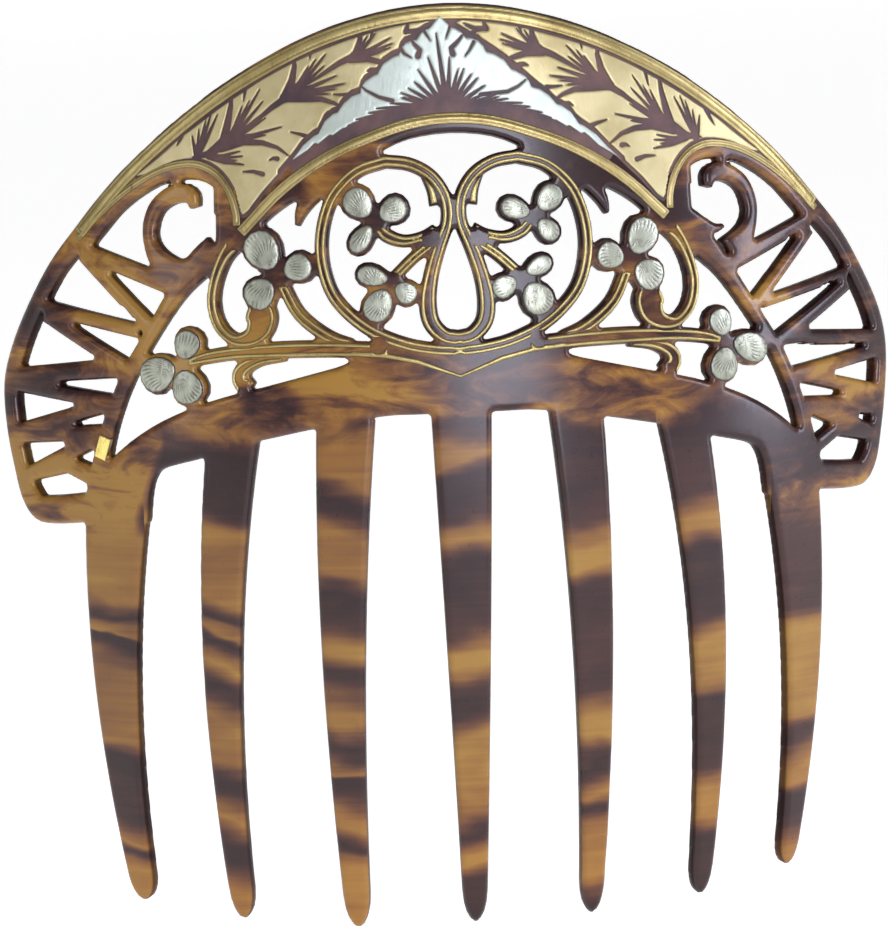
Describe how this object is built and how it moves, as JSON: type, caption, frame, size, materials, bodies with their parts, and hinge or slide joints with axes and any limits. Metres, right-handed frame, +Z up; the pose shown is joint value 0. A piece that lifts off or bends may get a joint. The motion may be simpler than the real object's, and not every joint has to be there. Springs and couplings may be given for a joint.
{
  "type": "decorative hair comb",
  "caption": "Bent back comb with seven long teeth below an openwork scroll crown, with engraved gold and silver foil on its front.",
  "frame": {"origin": "on the front face, at the middle of the line where the teeth begin, in the middle tooth's root", "axes": "+Z up when worn, from the teeth to the crown; -Y out of the decorated front; +X to the right as seen from the front"},
  "size_m": [0.1309, 0.0291, 0.1337],
  "materials": {
    "tortoiseshell": "polished celluloid, translucent amber mottled with dark brown",
    "gilt_band": "thin gold foil band, worn satin",
    "gold_foil": "pale gold foil, engraved, satin",
    "silver_foil": "silver foil, engraved and slightly tarnished",
    "gilding": "thin worn gilding on the stems"
  },
  "bodies": {
    "root": {"heading_bar": "tortoiseshell", "tooth_1": "tortoiseshell", "tooth_2": "tortoiseshell", "tooth_3": "tortoiseshell", "tooth_4": "tortoiseshell", "tooth_5": "tortoiseshell", "tooth_6": "tortoiseshell", "tooth_7": "tortoiseshell", "crown_plate": "tortoiseshell", "left_side_rim": "tortoiseshell", "right_side_rim": "tortoiseshell", "left_arch_rib": "tortoiseshell", "right_arch_rib": "tortoiseshell", "left_lattice": "tortoiseshell", "right_lattice": "tortoiseshell", "left_corner_scroll": "tortoiseshell", "right_corner_scroll": "tortoiseshell", "right_thorn": "tortoiseshell", "left_crescent": "tortoiseshell", "right_crescent": "tortoiseshell", "left_ring_stem": "tortoiseshell", "right_ring_stem": "tortoiseshell", "left_pear_stem": "tortoiseshell", "right_pear_stem": "tortoiseshell", "left_barb": "tortoiseshell", "right_barb": "tortoiseshell", "left_outer_scroll": "tortoiseshell", "right_outer_scroll": "tortoiseshell", "left_bottom_stem": "tortoiseshell", "right_bottom_stem": "tortoiseshell", "left_spur": "tortoiseshell", "right_spur": "tortoiseshell", "left_branches": "tortoiseshell", "right_branches": "tortoiseshell", "left_leaf_pads": "tortoiseshell", "right_leaf_pads": "tortoiseshell", "outer_gilt_band": "gilt_band", "arch_gilt_band": "gilt_band", "left_arch_gilt_band": "gilt_band", "right_arch_gilt_band": "gilt_band", "left_gold_foliage": "gold_foil", "right_gold_foliage": "gold_foil", "silver_palmette": "silver_foil", "left_far_trefoil": "silver_foil", "right_far_trefoil": "silver_foil", "left_outer_trefoil": "silver_foil", "right_outer_trefoil": "silver_foil", "left_upper_trefoil": "silver_foil", "right_upper_trefoil": "silver_foil", "left_lower_trefoil": "silver_foil", "right_lower_trefoil": "silver_foil", "left_gilt_lines": "gilding", "right_gilt_lines": "gilding", "gilt_patch": "gilding"}
  },
  "joints": []
}
